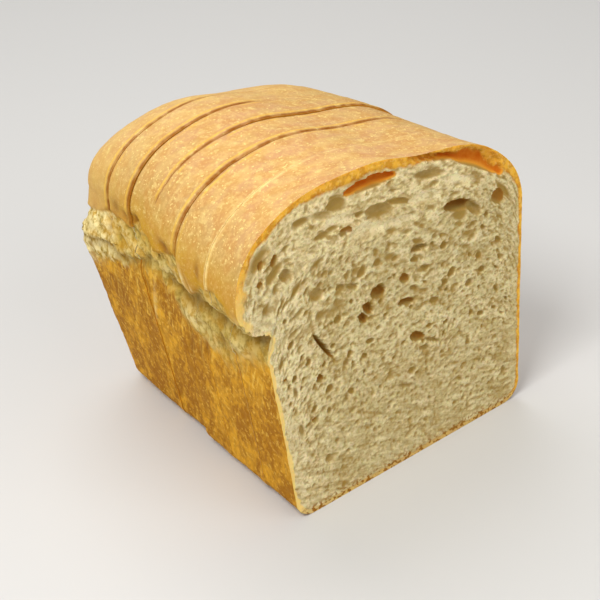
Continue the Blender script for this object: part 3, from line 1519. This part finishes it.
class NodeKit:
    """The node tree of one material, with a method for each thing that the finishes add to it."""

    def __init__(self, name: str) -> None:
        """Makes a material with a Principled shader.

        Args:
            name: The material's name.
        """
        self.material = bpy.data.materials.new(name)
        self.material.use_nodes = True
        self.tree = self.material.node_tree
        self.shader = self.tree.nodes["Principled BSDF"]
        self.place = self.add("ShaderNodeTexCoord", {}, {}).outputs["Object"]

    def set_socket(self, socket: bpy.types.NodeSocket, value: Any) -> None:
        """Links a socket to a value or another socket, or gives it a number or a colour.

        Args:
            socket: The socket that is set.
            value: A Value, a socket, a number, or a tuple of three numbers.
        """
        value = value.socket if isinstance(value, Value) else value
        if isinstance(value, bpy.types.NodeSocket):
            self.tree.links.new(value, socket)
        elif isinstance(value, tuple) and len(value) == 3 and socket.type == "RGBA":
            socket.default_value = (*value, 1.0)
        else:
            socket.default_value = value

    def add(self, kind: str, settings: dict[str, Any], inputs: dict[Any, Any]) -> bpy.types.Node:
        """Adds a node.

        Args:
            kind: The node's type.
            settings: Its own settings, which are set first.
            inputs: Values or links of its sockets, by name or number.

        Returns:
            The node.
        """
        node = self.tree.nodes.new(kind)
        for name, value in settings.items():
            setattr(node, name, value)
        for name, value in inputs.items():
            self.set_socket(node.inputs[name], value)
        return node

    def value(self, kind: str, settings: dict[str, Any], inputs: dict[Any, Any], output: Any = 0) -> Value:
        """Adds a node and wraps one of its outputs."""
        return Value(self, self.add(kind, settings, inputs).outputs[output])

    def trait(self, name: str) -> Value:
        """A value stored on the mesh's points."""
        return self.value("ShaderNodeAttribute", {"attribute_name": name}, {}, "Fac")

    def between(self, axis: str, band: Band) -> Value:
        """Smooth step of the place along X, Y or Z over a band in millimetres."""
        place = self.value("ShaderNodeSeparateXYZ", {}, {0: self.place}, axis)
        return place.eased(band[0] * MM, band[1] * MM)

    def stretched(self, scale: Triple, turn: Triple = (0.0, 0.0, 0.0)) -> bpy.types.NodeSocket:
        """Object coordinates, turned and then scaled.

        Args:
            scale: Scale along each axis. Less than 1 draws a pattern out.
            turn: Turn about each axis, in degrees.

        Returns:
            The coordinates' link.
        """
        place = self.place
        if any(turn):
            angles = tuple(math.radians(angle) for angle in turn)
            place = self.add("ShaderNodeMapping", {}, {"Vector": place, "Rotation": angles}).outputs[0]
        return self.add("ShaderNodeMapping", {}, {"Vector": place, "Scale": scale}).outputs[0]

    def noise(self, size: float, detail: float = 2.0, scale: Triple = (1.0, 1.0, 1.0), rough: float = 0.5,
              turn: Triple = (0.0, 0.0, 0.0)) -> Value:
        """Noise from 0 to 1.

        Args:
            size: Size of its grain, in millimetres.
            detail: How many finer noises are added.
            scale: Scale along each axis.
            rough: Strength of each finer noise, as a share of the one before.
            turn: Turn about each axis, in degrees.

        Returns:
            The noise.
        """
        inputs = {"Vector": self.stretched(scale, turn), "Scale": 1.0 / (size * MM), "Detail": detail,
                  "Roughness": rough}
        return self.value("ShaderNodeTexNoise", {}, inputs)

    def cells(self, size: float, scale: Triple = (1.0, 1.0, 1.0)) -> Value:
        """Cells about size millimetres wide: distance from the nearest cell's middle."""
        inputs = {"Vector": self.stretched(scale), "Scale": 1.0 / (size * MM)}
        return self.value("ShaderNodeTexVoronoi", {}, inputs, "Distance")

    def mix(self, share: Any, first: Any, second: Any, blend: str = "MIX") -> bpy.types.NodeSocket:
        """A colour between the first, at share 0, and its blend with the second, at share 1."""
        settings = {"data_type": "RGBA", "blend_type": blend}
        return self.add("ShaderNodeMix", settings, {0: share, 6: first, 7: second}).outputs[2]

    def layers(self, colour: Any, *layers: tuple[Value, Any]) -> bpy.types.NodeSocket:
        """A colour with others laid over it, one after the other.

        Args:
            colour: The lowest colour.
            layers: Share and colour of each layer.

        Returns:
            The colour's link.
        """
        for share, above in layers:
            colour = self.mix(share, colour, above)
        return colour

    def relief(self, height: Value, size: float) -> bpy.types.NodeSocket:
        """A bump of heights from 0 to 1, where 1 is the size in millimetres."""
        inputs = {"Height": height, "Distance": size * MM, "Strength": 1.0}
        return self.add("ShaderNodeBump", {}, inputs).outputs[0]

    def finish(self, inputs: dict[str, Any]) -> bpy.types.Material:
        """Sets the shader.

        Args:
            inputs: Values or links of its sockets, by name.

        Returns:
            The finished material.
        """
        for name, value in inputs.items():
            self.set_socket(self.shader.inputs[name], value)
        return self.material


@dataclass(frozen=True)
class CrustFinish:
    """Baked crust: a floury tan dome, a pale torn band and a golden brown side from the pan.

    plain_band is a band of places across, and the other bands are heights, in millimetres as the relief is.
    """

    dome_tan: Colour = (0.68, 0.405, 0.145)
    dome_rose: Colour = (0.63, 0.335, 0.145)
    dome_deep: Colour = (0.55, 0.245, 0.045)
    dome_gold: Colour = (0.505, 0.315, 0.105)
    dome_low: Colour = (0.64, 0.335, 0.005)
    dome_pale: Colour = (0.78, 0.52, 0.18)
    flour: Colour = (0.88, 0.69, 0.25)
    pan_gold: Colour = (0.79, 0.40, 0.024)
    pan_brown: Colour = (0.39, 0.155, 0.006)
    pan_olive: Colour = (0.50, 0.235, 0.018)
    pan_pale: Colour = (0.84, 0.52, 0.08)
    shred_straw: Colour = (0.57, 0.405, 0.08)
    shred_deep: Colour = (0.19, 0.10, 0.012)
    shred_cream: Colour = (0.92, 0.77, 0.38)
    cut_edge: Colour = (0.27, 0.085, 0.005)
    cut_gold: Colour = (0.82, 0.50, 0.07)
    scorch: Colour = (0.22, 0.075, 0.006)
    streak_turn: Triple = (-20.0, 0.0, 0.0)
    flank_band: Band = (107.0, 88.0)
    low_band: Band = (96.0, 77.0)
    plain_band: Band = (-30.0, 0.0)
    streaked_band: Band = (30.0, 52.0)
    gloss: float = 0.12
    relief: float = 0.22

    def material(self) -> bpy.types.Material:
        """Makes the material from the traits that the crust's relief stores.

        Returns:
            The material.
        """
        kit = NodeKit("loaf_crust")
        dome, shred, strand, heel = (kit.trait(name) for name in ("dome", "shred", "strand", "heel"))
        mottle, freckle, fine = kit.noise(5.0, 4.0), kit.noise(1.3, 3.0), kit.noise(0.5, 2.0)
        streak = kit.noise(2.0, 3.0, (1.0, 1.0, 0.35), 0.6, self.streak_turn)
        patch = kit.noise(9.0, 3.0, (1.0, 1.6, 1.0))

        flank = kit.between("Z", self.flank_band) * (0.85 - heel * 0.7)
        low = kit.between("Z", self.low_band)
        blotch = kit.noise(6.5, 2.0).eased(0.40, 0.62)
        speck = kit.noise(2.6, 3.0, (1.0, 0.8, 1.0), 0.65).eased(0.50, 0.72)
        meal = kit.noise(0.85, 1.0).eased(0.64, 0.71)
        dome_colour = kit.layers(
            self.dome_tan,
            (patch.eased(0.42, 0.58), self.dome_rose),
            (flank + mottle.eased(0.45, 0.70) * 0.3, self.dome_gold),
            (low * (0.95 - heel * 0.5), self.dome_low),
            (blotch * 0.4, self.dome_deep),
            (heel * 0.18, self.flour),
            (freckle.eased(0.45, 0.68) * (1.0 - low * 0.65) * 0.4, self.dome_pale),
            (speck * (mottle * 0.75 + 0.05) * (1.0 - low * 0.75), self.flour),
            (meal * (0.8 - low * 0.5), self.flour),
        )

        wide = kit.noise(14.0, 2.0, (1.0, 1.0, 0.7)).eased(0.40, 0.60)
        grain = kit.noise(2.4, 3.0, (1.0, 1.0, 0.7), 0.6, self.streak_turn)
        line = kit.noise(1.2, 2.0, (1.0, 1.0, 0.12), 0.5, self.streak_turn)
        bands = kit.noise(8.0, 2.0, (1.0, 1.0, 0.4), 0.5, self.streak_turn).eased(0.42, 0.58)
        plain = kit.between("X", self.plain_band) * 0.65
        browned = (wide + bands) * 0.36 + grain.eased(0.42, 0.58) * 0.45 + streak.eased(0.48, 0.60) * 0.25
        streaked = line.eased(0.54, 0.66) * kit.between("Z", self.streaked_band)
        dust = kit.noise(1.5, 3.0, rough=0.6).eased(0.54, 0.68) * 0.6 + streaked * 0.5
        pan_colour = kit.layers(
            self.pan_gold,
            (browned * (1.0 - plain) + plain * 0.75, self.pan_brown),
            (patch.eased(0.50, 0.66) * 0.3, self.pan_olive),
            (dust * (1.0 - plain), self.pan_pale),
        )

        torn = kit.noise(2.2, 4.0, (1.0, 1.0, 0.8), 0.65)
        crumbs = (heel * 0.75 + 0.25) * strand.eased(0.35, 0.85)
        straw = kit.layers(
            self.shred_deep,
            (strand * 0.6 + torn.eased(0.36, 0.60) * 0.5, self.shred_straw),
            (mottle.eased(0.40, 0.60) * 0.35, self.pan_gold),
            (crumbs * torn.eased(0.38, 0.60), self.shred_cream),
        )
        broken = dome * 0.5 + torn.eased(0.36, 0.56) * 0.6 + 0.15
        colour = kit.layers(
            pan_colour,
            (shred, straw),
            (dome, dome_colour),
            (kit.trait("crease") * (mottle * 0.7 + 0.2), self.shred_deep),
            (kit.trait("pale") * broken, self.shred_cream),
            (kit.trait("gold") * (freckle * 0.9 + 0.3), self.cut_gold),
            (kit.trait("burnt") * (freckle * 0.6 + 0.65), self.cut_edge),
            (kit.trait("dark") * (freckle * 0.6 + 0.6), self.scorch),
        )
        relief = fine * 0.5 + freckle * 0.5 + streak * (1.0 - dome) * 0.5 + speck * dome * 0.3
        return kit.finish({
            "Base Color": colour,
            "Roughness": 0.60 + freckle * 0.25,
            "Specular IOR Level": self.gloss,
            "Normal": kit.relief(relief, self.relief),
        })


@dataclass(frozen=True)
class CrumbFinish:
    """Open crumb: cream walls, olive-brown pores, orange hollows under the crust and a gold rim.

    The bands are heights, in millimetres as the relief and the glow's depth are.
    """

    wall: Colour = (0.89, 0.735, 0.39)
    body: Colour = (0.56, 0.42, 0.174)
    cream: Colour = (0.97, 0.84, 0.50)
    stain: Colour = (0.42, 0.285, 0.08)
    pore: Colour = (0.36, 0.22, 0.045)
    brown: Colour = (0.33, 0.14, 0.016)
    orange: Colour = (0.78, 0.35, 0.034)
    deep_orange: Colour = (0.57, 0.12, 0.002)
    rim_gold: Colour = (0.87, 0.475, 0.05)
    rim_brown: Colour = (0.52, 0.195, 0.012)
    rim_pale: Colour = (0.95, 0.72, 0.25)
    rim_hidden: Colour = (0.50, 0.22, 0.018)
    lower_shade: Colour = (0.90, 0.935, 0.98)
    line_turn: Triple = (0.0, -20.0, 0.0)
    low_band: Band = (50.0, 20.0)
    top_band: Band = (76.0, 98.0)
    base_band: Band = (4.5, 1.2)
    gloss: float = 0.1
    roughness: float = 0.8
    relief: float = 0.14
    glow: float = 0.5
    glow_colour: Triple = (1.0, 0.55, 0.2)
    glow_depth: float = 1.2

    def material(self) -> bpy.types.Material:
        """Makes the material from the traits that the cut face stores.

        Returns:
            The material.
        """
        kit = NodeKit("loaf_crumb")
        rim, warm, pale = kit.trait("rim"), kit.trait("warm"), kit.trait("pale")
        fine, broad, mottle = kit.noise(0.7, 2.0), kit.noise(7.0, 3.0), kit.noise(2.4, 3.0)
        smear = kit.noise(2.6, 3.0, (0.7, 1.0, 1.2), 0.6)
        lines = kit.noise(0.75, 2.0, (0.16, 1.0, 1.0), 0.5, self.line_turn).eased(0.34, 0.60)
        low, top = kit.between("Z", self.low_band), kit.between("Z", self.top_band)
        near = kit.cells(1.2, (0.75, 1.0, 1.15))
        web = near.eased(0.25, 0.60) * (1.0 - 0.65 * low) + lines * low * 0.65

        walls = kit.mix(web * 0.55 + broad.eased(0.38, 0.62) * 0.40, self.body, self.wall)
        crumb = kit.layers(
            kit.mix(1.0 - top, walls, self.lower_shade, "MULTIPLY"),
            (smear.eased(0.42, 0.26) * (top * 0.6 + 0.3) + top * 0.32 + pale * 0.4, self.cream),
            (smear.eased(0.52, 0.68) * 0.5, self.stain),
            (fine.eased(0.56, 0.66) * 0.35, self.pore),
            (kit.trait("fine") * 0.8, self.pore),
            (kit.trait("pore").eased(0.06, 0.75) * 0.95, self.pore),
            (kit.trait("brown").eased(0.3, 1.0) * 0.9, self.brown),
            (warm.eased(0.0, 0.5), self.orange),
            (warm.eased(0.35, 1.0) * (smear * 0.9 + 0.4), self.deep_orange),
        )
        base = kit.between("Z", self.base_band)
        rim_colour = kit.layers(
            self.rim_brown,
            (rim.eased(0.35, 0.9) * 0.45 + mottle.eased(0.42, 0.58) * 0.55, self.rim_gold),
            (fine.eased(0.5, 0.7) * 0.3, self.rim_pale),
            (pale * 0.85, self.rim_pale),
            (base * 0.6, self.body),
            (kit.trait("hidden"), self.rim_hidden),
        )
        grit = kit.noise(1.3, 1.0, (1.0, 1.0, 1.2)).eased(0.50, 0.58)
        colour = kit.layers(crumb, (rim.eased(0.05, 0.55), rim_colour), (base * grit, self.brown))
        relief = (web * 0.4 + fine * 0.4) * (1.0 - 0.6 * rim)
        return kit.finish({
            "Base Color": colour,
            "Roughness": self.roughness,
            "Specular IOR Level": self.gloss,
            "Subsurface Weight": self.glow,
            "Subsurface Radius": self.glow_colour,
            "Subsurface Scale": self.glow_depth * MM,
            "Normal": kit.relief(relief, self.relief),
        })


@dataclass(frozen=True)
class TableFinish:
    """The plain pale table top."""

    colour: Colour = (0.62, 0.61, 0.59)
    roughness: float = 0.7

    def material(self) -> bpy.types.Material:
        """Makes a plain matte material."""
        return NodeKit("pale_table").finish({"Base Color": self.colour, "Roughness": self.roughness})


@dataclass(frozen=True)
class SoftLight:
    """A square area light that faces the loaf."""

    name: str
    place: Triple
    size: float
    power: float
    colour: Colour = (1.0, 1.0, 1.0)

    def build(self, target: Triple) -> None:
        """Makes the light.

        Args:
            target: The place that it faces, in metres.
        """
        data = bpy.data.lights.new(self.name, "AREA")
        data.shape = "SQUARE"
        data.size = self.size
        data.energy = self.power
        data.color = self.colour
        light = new_object(self.name, data)
        light.location = self.place
        light.rotation_euler = facing(self.place, target).to_euler()


@dataclass(frozen=True)
class Studio:
    """The plain table, the soft lights and the camera at the photograph's viewing angle.

    Places are in metres, the roll in degrees and the lens in millimetres.
    """

    lights: tuple[SoftLight, ...] = (
        SoftLight("key", (-0.50, -0.22, 0.75), 0.35, 6.0),
        SoftLight("fill", (0.15, -0.8, 0.60), 0.7, 2.6),
        SoftLight("top", (0.15, 0.45, 0.9), 0.7, 4.4),
    )
    eye: Triple = (-0.2550, -0.3475, 0.2945)
    target: Triple = (0.0015, -0.0089, 0.0397)
    roll: float = 4.3
    lens: float = 92.0
    nearest_seen: float = 0.01
    table_half: float = 3.0
    room_colour: Colour = (1.0, 0.985, 0.965)
    room_light: float = 0.32
    table: TableFinish = field(default_factory=TableFinish)

    def build_table(self) -> None:
        """Makes the table top, with its surface at height 0."""
        half = self.table_half
        corners = [(-half, -half, 0), (half, -half, 0), (half, half, 0), (-half, half, 0)]
        mesh = bpy.data.meshes.new("table_top")
        mesh.from_pydata(corners, [], [(0, 1, 2, 3)])
        mesh.materials.append(self.table.material())
        new_object("table_top", mesh)

    def build_room(self) -> None:
        """Makes the even light from all sides."""
        world = bpy.data.worlds.new("studio")
        world.use_nodes = True
        background = world.node_tree.nodes["Background"]
        background.inputs["Color"].default_value = (*self.room_colour, 1.0)
        background.inputs["Strength"].default_value = self.room_light
        bpy.context.scene.world = world

    def build_camera(self) -> None:
        """Makes the camera, turned to the target and then rolled about its own axis."""
        data = bpy.data.cameras.new("camera")
        data.lens = self.lens
        data.clip_start = self.nearest_seen
        camera = new_object("camera", data)
        turn = facing(self.eye, self.target).to_matrix().to_4x4()
        roll = Matrix.Rotation(-math.radians(self.roll), 4, "Z")
        camera.matrix_world = Matrix.Translation(self.eye) @ turn @ roll
        bpy.context.scene.camera = camera
        bpy.context.scene.view_settings.view_transform = "Standard"

    def build(self) -> None:
        """Makes the table, the lights and the camera."""
        self.build_table()
        for light in self.lights:
            light.build(self.target)
        self.build_room()
        self.build_camera()


def main() -> None:
    """Builds the six pieces of the loaf and the studio."""
    logging.basicConfig(level=logging.INFO, format="%(name)s: %(message)s")
    materials = [CrustFinish().material(), CrumbFinish().material()]
    pieces = [
        CutSlice("slice_1", 0, "cut_bread"),
        LoafPiece("slice_2", 1, "crust_bread"),
        LoafPiece("slice_3", 2, "crust_bread"),
        LoafPiece("slice_4", 3, "crust_bread"),
        LoafPiece("slice_5", 4, "crust_bread"),
        Heel("heel", 5, "crust_bread"),
    ]
    for piece in pieces:
        piece.build(materials)
    Studio().build()


if __name__ == "__main__":
    main()
